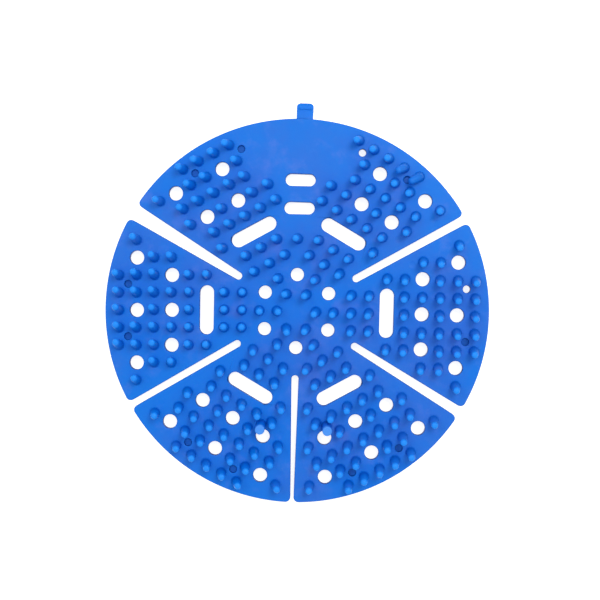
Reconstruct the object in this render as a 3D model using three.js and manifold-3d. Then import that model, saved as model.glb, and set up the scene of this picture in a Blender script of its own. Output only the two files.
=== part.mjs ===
// A urinal deodorizer screen: one flexible disc, moulded in one piece, that lies over a urinal's drain.
// Millimetres, +Z up. The origin is the middle of the disc, on the surface that the disc stands on.
// The pins point up. +Y points at the grip tab, and a bare band runs out along +Y from the ring of drains.
// The disc is laid out as six equal sectors, numbered counterclockwise from +X. Each sector has its own
// grid for the pins and drains: u runs out from the middle along the sector's axis, and v runs across it.
// Open slots between the sectors make the flaps. The flaps have taken a set: each swings a little sideways.
import * as THREE from "three";
import { mergeVertices } from "three/addons/utils/BufferGeometryUtils.js";
import Module from "manifold-3d";

// Disc, in millimetres
const discDiameter = 175;
const plateThickness = 3;
const standOff = 3;

// Pin grid: row k lies at u = gridStart + k * pitch, and column j at v = j * pitch
const pitch = 8;
const gridStart = 1;
const pinHeight = 7.5;
const pinBaseDiameter = 4.6;
const pinTipDiameter = 3;
const pinRounding = 0.7;
const rimMargin = 2;
const slotMargin = 0.4;
const holeMargin = 0.8;

// Open slots from the rim inwards, and the corners of the flaps
const slotInnerRadius = 29.3;
const slotInnerWidth = 3.3;
const slotRimWidth = 3.7;
const flapCornerRadius = 2.2;

// Drains: round ones on the grid, long ones across the grid, a ring round the middle, two in the bare band
const drainDiameter = 6.4;
const longDrainSpan = 16;
const ringDrainDiameter = 6;
const ringRadius = 16.7;
const bandDrainWidth = 5.5;
const bandDrainLength = 13.9;
const bandDrainRadii = [46.9, 59.7];
const bandHalfWidth = 18;

// Bare field for a label, at the outer end of the band
const fieldHalfWidth = 24;
const fieldBase = 62;

// Small round pockets between four pins, of which two go right through
const pocketDiameter = 3.4;
const pocketDepth = 1.2;
const pocketRadialPlace = 77;
const pocketSidePlace = 12;

// Two flat-topped posts beside the lower slot, and one pin on the middle line of the band
const postDiameter = 4.5;
const postHeight = 7.5;
const postChamfer = 0.4;
const postRadialPlace = 52.6;
const postSidePlace = 12.7;
const bandPinRadius = 33;

// Grip tab on the rim
const tabWidth = 7.8;
const tabReach = 7.2;
const tabThickness = 2.2;
const tabCornerRadius = 1.7;
const tabOffset = 0.8;

// Feet under the plate
const footBaseDiameter = 5.2;
const footTipDiameter = 4.2;
const centrePadDiameter = 10;
const innerFootPlace = 25;
const flapFootPlaces = [[52, 22.6], [68, 31.6]];

// How far a part that stands on another reaches into it, and how far a cutter runs past a face
const rootDepth = 1;
const cutterOverrun = 1;

// Layout of the sectors, in degrees
const SECTOR_COUNT = 6;
const SECTOR_ANGLE = 360 / SECTOR_COUNT;
const BAND_ANGLE = 90;
const slotAngles = [150, 210, 270, 330, 390];
const flapSwings = [-0.3, 0, -2, 1.5, 0.9, -1.3];
const roundDrains = { 7: [-2, 0, 2], 9: [-3, 0, 3] };
const longDrainRow = 5;
const openPockets = [[0, 1], [1, 1]];
const postSectors = [[4, 1], [5, -1]];
const pinlessSite = { sector: 2, row: 10, column: -2 };
const bentPins = [
  { sector: 1, row: 10, column: -1, lean: 45, heading: 210 },
  { sector: 1, row: 10, column: -2, lean: 66, heading: 211 },
];

// Facets
const PIN_SIDES = 7;
const POST_SIDES = 12;
const FOOT_SIDES = 6;
const PAD_SIDES = 12;
const DRAIN_SIDES = 12;
const POCKET_SIDES = 8;
const CORNER_STEPS = 4;
const RIM_STEP = 4;

const discRadius = discDiameter / 2;
const plateTop = standOff + plateThickness;
const radians = THREE.MathUtils.degToRad;

const wasm = await Module();
wasm.setup();

// Turns a closed geometry into a solid.
function solid(geometry) {
  geometry.deleteAttribute("normal");
  geometry.deleteAttribute("uv");
  const merged = mergeVertices(geometry, 1e-4);
  const mesh = new wasm.Mesh({
    numProp: 3,
    vertProperties: merged.attributes.position.array,
    triVerts: new Uint32Array(merged.index.array),
  });
  return new wasm.Manifold(mesh);
}

// Turns a solid back into a geometry with faceted shading.
function geometryOf(made) {
  const mesh = made.getMesh();
  const geometry = new THREE.BufferGeometry();
  geometry.setAttribute("position", new THREE.BufferAttribute(mesh.vertProperties, 3));
  geometry.setIndex(new THREE.BufferAttribute(mesh.triVerts, 1));
  const faceted = geometry.toNonIndexed();
  faceted.computeVertexNormals();
  return faceted;
}

// An upright prism over an outline, from one height to another.
function prism(outline, bottom, top) {
  const settings = { depth: top - bottom, bevelEnabled: false };
  const geometry = new THREE.ExtrudeGeometry(new THREE.Shape(outline), settings);
  return solid(geometry.translate(0, 0, bottom));
}

// Points along an arc, both ends included. Angles in degrees, and they may run backwards.
function arc(x, y, radius, from, to, steps) {
  return Array.from({ length: steps + 1 }, (_, i) => {
    const angle = radians(from + ((to - from) * i) / steps);
    return new THREE.Vector2(x + radius * Math.cos(angle), y + radius * Math.sin(angle));
  });
}

// How far, in degrees, the flap at a polar angle swings. Across the bare band one set fades into the next.
function swingAt(angle) {
  const sector = Math.round(angle / SECTOR_ANGLE);
  const bandFlap = Math.floor(BAND_ANGLE / SECTOR_ANGLE);
  const across = angle / SECTOR_ANGLE - bandFlap;
  if (across > 0 && across < 1) {
    return THREE.MathUtils.lerp(flapSwings[bandFlap], flapSwings[bandFlap + 1], across);
  }
  return flapSwings[((sector % SECTOR_COUNT) + SECTOR_COUNT) % SECTOR_COUNT];
}

// Moves a point of the straight layout sideways with its flap. It hinges where the slots end.
function swung(point) {
  const radius = point.length();
  const angle = THREE.MathUtils.euclideanModulo(THREE.MathUtils.radToDeg(point.angle()), 360);
  const share = Math.max(0, radius - slotInnerRadius) / Math.max(radius, slotInnerRadius);
  const turned = radians(angle + swingAt(angle) * share);
  return new THREE.Vector2(radius * Math.cos(turned), radius * Math.sin(turned));
}

// A point of a sector's own grid, in the straight layout of the disc.
function fromGrid(sector, u, v) {
  return new THREE.Vector2(u, v).rotateAround(new THREE.Vector2(), radians(sector * SECTOR_ANGLE));
}

// One open slot's side of a flap: half of the rounded inner end, the straight side, and the rim corner.
// It is for a slot along +X with the flap above it, and it runs from the inside out.
function flapSide() {
  const inner = slotInnerWidth / 2;
  const outer = slotRimWidth / 2;
  const reach = Math.sqrt((discRadius - flapCornerRadius) ** 2 - (outer + flapCornerRadius) ** 2);
  const meets = THREE.MathUtils.radToDeg(Math.atan2(outer + flapCornerRadius, reach));
  return [
    ...arc(slotInnerRadius + inner, 0, inner, 180, 90, CORNER_STEPS),
    ...arc(reach, outer + flapCornerRadius, flapCornerRadius, -90, meets, CORNER_STEPS),
  ];
}

// The outline of the disc with its open slots, counterclockwise.
function discOutline() {
  const side = flapSide();
  const corner = side.at(-1);
  const cornerAngle = THREE.MathUtils.radToDeg(corner.angle());
  const centre = new THREE.Vector2();
  const outline = [];
  slotAngles.forEach((slot, i) => {
    const next = i + 1 < slotAngles.length ? slotAngles[i + 1] : slotAngles[0] + 360;
    const start = slot + cornerAngle;
    const end = next - cornerAngle;
    const steps = Math.ceil((end - start) / RIM_STEP);
    const leaving = side.map((p) => p.clone().rotateAround(centre, radians(slot)));
    const mirrored = side.map((p) => new THREE.Vector2(p.x, -p.y));
    const arriving = mirrored.map((p) => p.rotateAround(centre, radians(next))).reverse();
    const rim = arc(0, 0, discRadius, start, end, steps).slice(1, -1);
    outline.push(...leaving, ...rim, ...arriving.slice(0, -1));
  });
  return outline.map(swung);
}

// The outline of a round-ended hole between two points.
function longOutline(from, to, width, sides) {
  const along = THREE.MathUtils.radToDeg(to.clone().sub(from).angle());
  return [
    ...arc(to.x, to.y, width / 2, along - 90, along + 90, sides / 2),
    ...arc(from.x, from.y, width / 2, along + 90, along + 270, sides / 2),
  ];
}

// The outline of a round hole.
function roundOutline(at, diameter, sides) {
  return arc(at.x, at.y, diameter / 2, 0, 360, sides).slice(0, -1);
}

// Every hole, as the line that its middle runs along in the straight layout, its width and floor height.
function holes() {
  const through = standOff - cutterOverrun;
  const found = [];
  const add = (from, to, width, sides, floor) => found.push({ from, to, width, sides, floor });
  for (let sector = 0; sector < SECTOR_COUNT; sector += 1) {
    for (const [row, columns] of Object.entries(roundDrains)) {
      for (const column of columns) {
        const at = fromGrid(sector, gridStart + row * pitch, column * pitch);
        if (at.y < 0 || Math.abs(at.x) > bandHalfWidth) add(at, at, drainDiameter, DRAIN_SIDES, through);
      }
    }
    const longRow = gridStart + longDrainRow * pitch;
    const ends = [-1, 1].map((end) => fromGrid(sector, longRow, (end * longDrainSpan) / 2));
    add(ends[0], ends[1], drainDiameter, DRAIN_SIDES, through);
    const ringAt = new THREE.Vector2(ringRadius, 0).rotateAround(
      new THREE.Vector2(),
      radians((sector + 0.5) * SECTOR_ANGLE),
    );
    add(ringAt, ringAt, ringDrainDiameter, DRAIN_SIDES, through);
    for (const side of [-1, 1]) {
      const at = fromGrid(sector, pocketRadialPlace, side * pocketSidePlace);
      const open = openPockets.some(([s, e]) => s === sector && e === side);
      add(at, at, pocketDiameter, POCKET_SIDES, open ? through : plateTop - pocketDepth);
    }
  }
  const straight = (bandDrainLength - bandDrainWidth) / 2;
  for (const radius of bandDrainRadii) {
    const [left, right] = [-straight, straight].map((x) => new THREE.Vector2(x, radius));
    add(left, right, bandDrainWidth, DRAIN_SIDES, through);
  }
  return found;
}

// The solid that cuts one hole, swung with its flap.
function holeCutter({ from, to, width, sides, floor }) {
  const outline =
    from === to
      ? roundOutline(swung(from), width, sides)
      : longOutline(swung(from), swung(to), width, sides);
  return prism(outline, floor, plateTop + cutterOverrun);
}

// How far a point lies from the line between a hole's two ends.
function distanceToHole(point, hole) {
  const start = new THREE.Vector3(hole.from.x, hole.from.y);
  const end = new THREE.Vector3(hole.to.x, hole.to.y);
  const at = new THREE.Vector3(point.x, point.y);
  if (hole.from === hole.to) return start.distanceTo(at);
  return new THREE.Line3(start, end).closestPointToPoint(at, true, new THREE.Vector3()).distanceTo(at);
}

// Whether a round thing on the grid keeps clear of the rim and of the line between two sectors.
function fitsSector(u, v, diameter) {
  const toRim = discRadius - Math.hypot(u, v) - diameter / 2;
  const halfAngle = radians(SECTOR_ANGLE / 2);
  const toEdge = u * Math.sin(halfAngle) - Math.abs(v) * Math.cos(halfAngle) - diameter / 2;
  return toRim >= rimMargin && toEdge >= slotInnerWidth / 2 + slotMargin;
}

// Whether a place on the grid lies clear of the flap feet, above which the plate carries no pin.
function clearOfFeet(u, v) {
  const reach = (pinBaseDiameter + footTipDiameter) / 2;
  return flapFootPlaces.every(([footU, footV]) => Math.hypot(u - footU, Math.abs(v) - footV) >= reach);
}

// Where the pins stand: at every place of the grid that is clear of rim, slots, holes, feet and bare field.
function pinSites(allHoles) {
  const sites = [];
  for (let sector = 0; sector < SECTOR_COUNT; sector += 1) {
    for (let row = 1; gridStart + row * pitch < discRadius; row += 1) {
      for (let column = -row; column <= row; column += 1) {
        const u = gridStart + row * pitch;
        const v = column * pitch;
        const at = fromGrid(sector, u, v);
        const inField = at.y > fieldBase && Math.abs(at.x) < fieldHalfWidth;
        const pinless =
          sector === pinlessSite.sector && row === pinlessSite.row && column === pinlessSite.column;
        const clear = allHoles.every(
          (hole) => distanceToHole(at, hole) - hole.width / 2 - pinBaseDiameter / 2 >= holeMargin,
        );
        if (fitsSector(u, v, pinBaseDiameter) && clearOfFeet(u, v) && clear && !inField && !pinless) {
          const bend = bentPins.find((p) => p.sector === sector && p.row === row && p.column === column);
          sites.push({ at: swung(at), lean: bend ? bend.lean : 0, heading: bend ? bend.heading : 0 });
        }
      }
    }
  }
  sites.push({ at: new THREE.Vector2(0, bandPinRadius), lean: 0, heading: 0 });
  return sites;
}

// A tapered pin with a rounded tip, whose root reaches into the plate. A bent one folds over at the plate.
function pin({ at, lean, heading }) {
  const profile = [
    new THREE.Vector2(0, -rootDepth),
    new THREE.Vector2(pinBaseDiameter / 2, -rootDepth),
    new THREE.Vector2(pinTipDiameter / 2, pinHeight - pinRounding),
    new THREE.Vector2(0, pinHeight),
  ];
  const geometry = new THREE.LatheGeometry(profile, PIN_SIDES).rotateX(Math.PI / 2);
  const axis = new THREE.Vector3(-Math.sin(radians(heading)), Math.cos(radians(heading)), 0);
  const position = geometry.attributes.position;
  const point = new THREE.Vector3();
  for (let i = 0; i < position.count; i += 1) {
    point.fromBufferAttribute(position, i);
    if (point.z > 0) point.applyAxisAngle(axis, radians(lean));
    position.setXYZ(i, point.x + at.x, point.y + at.y, point.z + plateTop);
  }
  return solid(geometry);
}

// A flat-topped post with a small chamfer.
function post(at) {
  const profile = [
    new THREE.Vector2(0, -rootDepth),
    new THREE.Vector2(postDiameter / 2, -rootDepth),
    new THREE.Vector2(postDiameter / 2, postHeight - postChamfer),
    new THREE.Vector2(postDiameter / 2 - postChamfer, postHeight),
    new THREE.Vector2(0, postHeight),
  ];
  const geometry = new THREE.LatheGeometry(profile, POST_SIDES).rotateX(Math.PI / 2);
  return solid(geometry.translate(at.x, at.y, plateTop));
}

// A short tapered foot with a flat tip on the surface that the disc stands on.
function foot(at, baseDiameter, tipDiameter, sides) {
  const profile = [
    new THREE.Vector2(0, 0),
    new THREE.Vector2(tipDiameter / 2, 0),
    new THREE.Vector2(baseDiameter / 2, standOff),
    new THREE.Vector2(baseDiameter / 2, standOff + rootDepth),
    new THREE.Vector2(0, standOff + rootDepth),
  ];
  const geometry = new THREE.LatheGeometry(profile, sides).rotateX(Math.PI / 2);
  return solid(geometry.translate(at.x, at.y, 0));
}

// Where the feet stand, besides the pad in the middle.
function footSites(allHoles) {
  const sites = [];
  for (let sector = 0; sector < SECTOR_COUNT; sector += 1) {
    const places = [[innerFootPlace, 0]];
    for (const [u, v] of flapFootPlaces) places.push([u, v], [u, -v]);
    for (const [u, v] of places) {
      const at = fromGrid(sector, u, v);
      const clear = allHoles.every(
        (hole) => distanceToHole(at, hole) - hole.width / 2 - footBaseDiameter / 2 >= holeMargin,
      );
      if (fitsSector(u, v, footBaseDiameter) && clear) sites.push(swung(at));
    }
  }
  return sites;
}

// The grip tab: a thin tongue with rounded outer corners, level with the plate's underside.
function tab() {
  const left = tabOffset - tabWidth / 2;
  const right = tabOffset + tabWidth / 2;
  const end = discRadius + tabReach;
  const root = discRadius - rimMargin;
  const outline = [
    new THREE.Vector2(left, root),
    new THREE.Vector2(right, root),
    ...arc(right - tabCornerRadius, end - tabCornerRadius, tabCornerRadius, 0, 90, CORNER_STEPS),
    ...arc(left + tabCornerRadius, end - tabCornerRadius, tabCornerRadius, 90, 180, CORNER_STEPS),
  ];
  return prism(outline.map(swung), standOff, standOff + tabThickness);
}

// The whole disc as one solid.
function screen() {
  const allHoles = holes();
  const plate = prism(discOutline(), standOff, plateTop);
  const cut = allHoles.reduce((made, hole) => made.subtract(holeCutter(hole)), plate);
  const posts = postSectors.map(([sector, side]) =>
    post(swung(fromGrid(sector, postRadialPlace, side * postSidePlace))),
  );
  const feet = footSites(allHoles).map((at) => foot(at, footBaseDiameter, footTipDiameter, FOOT_SIDES));
  const padTip = centrePadDiameter - footBaseDiameter + footTipDiameter;
  const pad = foot(new THREE.Vector2(), centrePadDiameter, padTip, PAD_SIDES);
  const added = [tab(), pad, ...posts, ...feet, ...pinSites(allHoles).map(pin)];
  return added.reduce((made, piece) => made.add(piece), cut);
}

const vinyl = new THREE.MeshStandardMaterial({ color: 0x2f72e6, roughness: 0.45, metalness: 0 });

const mat = new THREE.Mesh(geometryOf(screen()), vinyl);
mat.name = "mat";

const part = new THREE.Group();
part.add(mat);

export default part;
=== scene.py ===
"""Blender scene of a urinal deodorizer screen, a flexible disc moulded in one piece.

The disc lies with its pins up. The origin is the middle of the disc on the surface that it
stands on, and +Y points at the grip tab. Lengths are metres.
"""

import logging
import math
import random
from collections.abc import Callable, Iterable
from dataclasses import dataclass, field
from enum import Enum

import bpy
from mathutils import Matrix, Vector


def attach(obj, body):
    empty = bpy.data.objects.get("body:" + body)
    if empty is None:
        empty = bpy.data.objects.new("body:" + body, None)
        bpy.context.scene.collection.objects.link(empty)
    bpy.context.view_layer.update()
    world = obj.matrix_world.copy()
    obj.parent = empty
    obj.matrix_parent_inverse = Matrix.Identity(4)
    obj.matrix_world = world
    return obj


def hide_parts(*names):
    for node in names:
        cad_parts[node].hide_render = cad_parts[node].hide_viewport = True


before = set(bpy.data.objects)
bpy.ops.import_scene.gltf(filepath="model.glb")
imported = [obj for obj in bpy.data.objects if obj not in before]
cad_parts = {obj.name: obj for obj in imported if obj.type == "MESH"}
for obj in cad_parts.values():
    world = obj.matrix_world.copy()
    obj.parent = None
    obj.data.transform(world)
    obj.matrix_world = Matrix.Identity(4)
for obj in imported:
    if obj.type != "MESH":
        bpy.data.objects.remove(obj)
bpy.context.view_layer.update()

MM = 0.001

# How near to nothing a length is a point's, and how near to a plane a point lies on it
NO_LENGTH = 1e-9
ON_PLANE = 1e-6

# How near to each other two points are one, and how near to plumb an edge is upright
DOUBLES = 2e-6
PLUMB = 1e-5

NODE = "mat"
BODY = "root"

Colour = tuple[float, float, float]
Profile = tuple[tuple[float, float], ...]
Piece = bpy.types.Object
Socket = bpy.types.NodeSocket

log = logging.getLogger("screen")


class Depth(Enum):
    """How far a hole goes into the plate."""

    THROUGH = "through"
    POCKET = "pocket"


@dataclass(frozen=True)
class Hole:
    """A hole in the plate, as the line that its middle runs along.

    Args:
        start: One end of the line, in the straight layout.
        end: The other end. A round hole's ends are the same point.
        width: The hole's width.
        depth: How far the hole goes in.
    """

    start: Vector
    end: Vector
    width: float
    depth: Depth

    def distance(self, point: Vector) -> float:
        """Returns how far a point lies from the hole's line.

        Args:
            point: The point, in the straight layout.

        Returns:
            The distance, 0 on the line.
        """
        along = self.end - self.start
        if along.length < NO_LENGTH:
            return (point - self.start).length
        share = (point - self.start).dot(along) / along.length_squared
        return (point - self.start - along * min(1.0, max(0.0, share))).length


@dataclass(frozen=True)
class Pin:
    """One pin's place.

    Args:
        at: Where the pin stands.
        sector: The sector that it belongs to, counterclockwise from +X.
        bend: How far it is folded over, in degrees.
        heading: Where a folded pin points, in degrees from +X.
    """

    at: Vector
    sector: int
    bend: float = 0.0
    heading: float = 0.0


def polar(radius: float, degrees: float) -> Vector:
    """Returns the point at a radius and an angle."""
    return Vector((math.cos(math.radians(degrees)), math.sin(math.radians(degrees)))) * radius


def leaning(at: Vector, floor: float, lean: Vector, height: float) -> Matrix:
    """Returns where a copy goes that stands at a point and leans aside.

    Args:
        at: The point in the plane.
        floor: How high it stands.
        lean: How far its top lies aside of its foot.
        height: How high its top lies above its foot.

    Returns:
        The lean and the place as one matrix.
    """
    shear = Matrix.Identity(4)
    shear[0][2], shear[1][2] = lean / height
    return Matrix.Translation((at.x, at.y, floor)) @ shear


def in_metres(profile: Profile) -> list[tuple[float, float]]:
    """Returns the rings of a profile that is written in millimetres."""
    return [(radius * MM, height * MM) for radius, height in profile]


@dataclass(frozen=True)
class Layout:
    """Places and sizes that the pieces of the disc share."""

    disc_radius: float = 87.5 * MM
    plate_bottom: float = 3 * MM
    plate_top: float = 6 * MM
    pitch: float = 8 * MM
    grid_start: float = 1 * MM
    pin_base: float = 4.6 * MM
    foot_base: float = 5.2 * MM
    foot_tip: float = 4.2 * MM
    rim_margin: float = 2 * MM
    slot_margin: float = 0.4 * MM
    hole_margin: float = 0.8 * MM
    slot_start: float = 29.3 * MM
    slot_inner: float = 3.3 * MM
    slot_outer: float = 3.7 * MM
    drain: float = 6.4 * MM
    long_span: float = 16 * MM
    ring_drain: float = 6 * MM
    ring_radius: float = 16.7 * MM
    band_drain: float = 5.5 * MM
    band_drain_length: float = 13.9 * MM
    band_drains: tuple[float, ...] = (46.9 * MM, 59.7 * MM)
    band_half: float = 18 * MM
    field_half: float = 24 * MM
    field_base: float = 62 * MM
    pocket: float = 3.4 * MM
    pocket_u: float = 77 * MM
    pocket_v: float = 12 * MM
    mark: float = 3.9 * MM
    foot_inner: float = 25 * MM
    foot_places: tuple[tuple[float, float], ...] = ((52 * MM, 22.6 * MM), (68 * MM, 31.6 * MM))
    post_u: float = 52.6 * MM
    post_v: float = 12.7 * MM
    band_pin: float = 33 * MM
    sectors: int = 6
    sector_angle: float = 60
    band_sector: int = 1
    round_rows: tuple[tuple[int, tuple[int, ...]], ...] = ((7, (-2, 0, 2)), (9, (-3, 0, 3)))
    long_row: int = 5
    slots: tuple[float, ...] = (150, 210, 270, 330, 30)
    swings: tuple[float, ...] = (-0.3, 0.0, -2.0, 1.5, 0.9, -1.3)
    open_pockets: tuple[tuple[int, int], ...] = ((0, 1), (1, 1))
    post_sectors: tuple[tuple[int, int], ...] = ((4, 1), (5, -1))
    bare_site: tuple[int, int, int] = (2, 10, -2)
    bent: dict[tuple[int, int, int], tuple[float, float]] = field(
        default_factory=lambda: {(1, 10, -1): (45, 210), (1, 10, -2): (66, 211)}
    )

    def grid(self, sector: int, u: float, v: float) -> Vector:
        """Returns a point of a sector's own grid, in the straight layout."""
        return Matrix.Rotation(math.radians(sector * self.sector_angle), 2) @ Vector((u, v))

    def swing_at(self, degrees: float) -> float:
        """Returns how far the flap at a polar angle swings sideways.

        Args:
            degrees: The polar angle.

        Returns:
            The swing in degrees. Across the bare band it fades from one flap's to the next.
        """
        turned = degrees / self.sector_angle
        across = turned - self.band_sector
        if 0 < across < 1:
            near, far = self.swings[self.band_sector : self.band_sector + 2]
            return near * (1 - across) + far * across
        return self.swings[round(turned) % self.sectors]

    def swung(self, point: Vector) -> Vector:
        """Moves a point of the straight layout sideways with its flap.

        Args:
            point: The point, of which the first two coordinates count.

        Returns:
            The moved point in the plane.
        """
        radius = math.hypot(point.x, point.y)
        angle = math.degrees(math.atan2(point.y, point.x)) % 360
        share = max(0.0, radius - self.slot_start) / max(radius, self.slot_start)
        return polar(radius, angle + self.swing_at(angle) * share)

    def swing(self, piece: Piece) -> None:
        """Swings every flap of a piece sideways by the set that it has taken."""
        for vertex in piece.data.vertices:
            vertex.co.xy = self.swung(vertex.co)

    def in_field(self, point: Vector) -> bool:
        """Returns whether a point lies in the bare field at the end of the band."""
        return point.y > self.field_base and abs(point.x) < self.field_half

    def holes(self) -> list[Hole]:
        """Returns every drain and pocket, in the straight layout."""
        found = []
        for sector in range(self.sectors):
            for row, columns in self.round_rows:
                for column in columns:
                    at = self.grid(sector, self.grid_start + row * self.pitch, column * self.pitch)
                    if at.y < 0 or abs(at.x) > self.band_half:
                        found.append(Hole(at, at, self.drain, Depth.THROUGH))
            u = self.grid_start + self.long_row * self.pitch
            ends = [self.grid(sector, u, end * self.long_span / 2) for end in (-1, 1)]
            found.append(Hole(*ends, self.drain, Depth.THROUGH))
            ring = polar(self.ring_radius, (sector + 0.5) * self.sector_angle)
            found.append(Hole(ring, ring, self.ring_drain, Depth.THROUGH))
            for side in (-1, 1):
                at = self.grid(sector, self.pocket_u, side * self.pocket_v)
                depth = Depth.THROUGH if (sector, side) in self.open_pockets else Depth.POCKET
                found.append(Hole(at, at, self.pocket, depth))
        half = (self.band_drain_length - self.band_drain) / 2
        for radius in self.band_drains:
            ends = [Vector((x, radius)) for x in (-half, half)]
            found.append(Hole(*ends, self.band_drain, Depth.THROUGH))
        return found

    def fits(self, u: float, v: float, width: float) -> bool:
        """Returns whether a round thing on the grid keeps clear of rim and sector edge.

        Args:
            u: Its place along the sector's middle line.
            v: Its place across that line.
            width: Its width.

        Returns:
            Whether there is room for it.
        """
        to_rim = self.disc_radius - math.hypot(u, v) - width / 2
        half = math.radians(self.sector_angle / 2)
        to_edge = u * math.sin(half) - abs(v) * math.cos(half) - width / 2
        return to_rim >= self.rim_margin and to_edge >= self.slot_inner / 2 + self.slot_margin

    def off_feet(self, u: float, v: float) -> bool:
        """Returns whether a place on the grid lies clear of the flap feet."""
        reach = (self.pin_base + self.foot_tip) / 2
        return all(math.hypot(u - fu, abs(v) - fv) >= reach for fu, fv in self.foot_places)

    def off_holes(self, at: Vector, width: float) -> bool:
        """Returns whether a round thing keeps clear of every drain and pocket."""
        room = width / 2 + self.hole_margin
        return all(hole.distance(at) - hole.width / 2 >= room for hole in self.holes())

    def pins(self) -> list[Pin]:
        """Returns the place of every pin."""
        found = []
        rows = int((self.disc_radius - self.grid_start) / self.pitch)
        for sector in range(self.sectors):
            for row in range(1, rows + 1):
                for column in range(-row, row + 1):
                    u, v = self.grid_start + row * self.pitch, column * self.pitch
                    site = (sector, row, column)
                    if not self.fits(u, v, self.pin_base) or not self.off_feet(u, v):
                        continue
                    at = self.grid(sector, u, v)
                    if self.in_field(at) or site == self.bare_site:
                        continue
                    if self.off_holes(at, self.pin_base):
                        found.append(Pin(self.swung(at), sector, *self.bent.get(site, (0, 0))))
        found.append(Pin(Vector((0, self.band_pin)), self.band_sector))
        return found

    def feet(self, marked: bool = False) -> list[Vector]:
        """Returns where the feet stand, besides the pad in the middle.

        Args:
            marked: Whether only the flap feet that show as sink marks are wanted.

        Returns:
            The places, in the straight layout.
        """
        found = []
        for sector in range(self.sectors):
            places = [] if marked else [(self.foot_inner, 0.0)]
            places += [(u, v * side) for u, v in self.foot_places for side in (1, -1)]
            for u, v in places:
                at = self.grid(sector, u, v)
                hidden = marked and (self.in_field(at) or (at.y > 0 and abs(at.x) < self.band_half))
                if self.fits(u, v, self.foot_base) and not hidden:
                    if self.off_holes(at, self.foot_base):
                        found.append(at)
        return found

    def posts(self) -> list[Vector]:
        """Returns where the two flat posts stand."""
        return [
            self.swung(self.grid(sector, self.post_u, side * self.post_v))
            for sector, side in self.post_sectors
        ]


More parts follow.
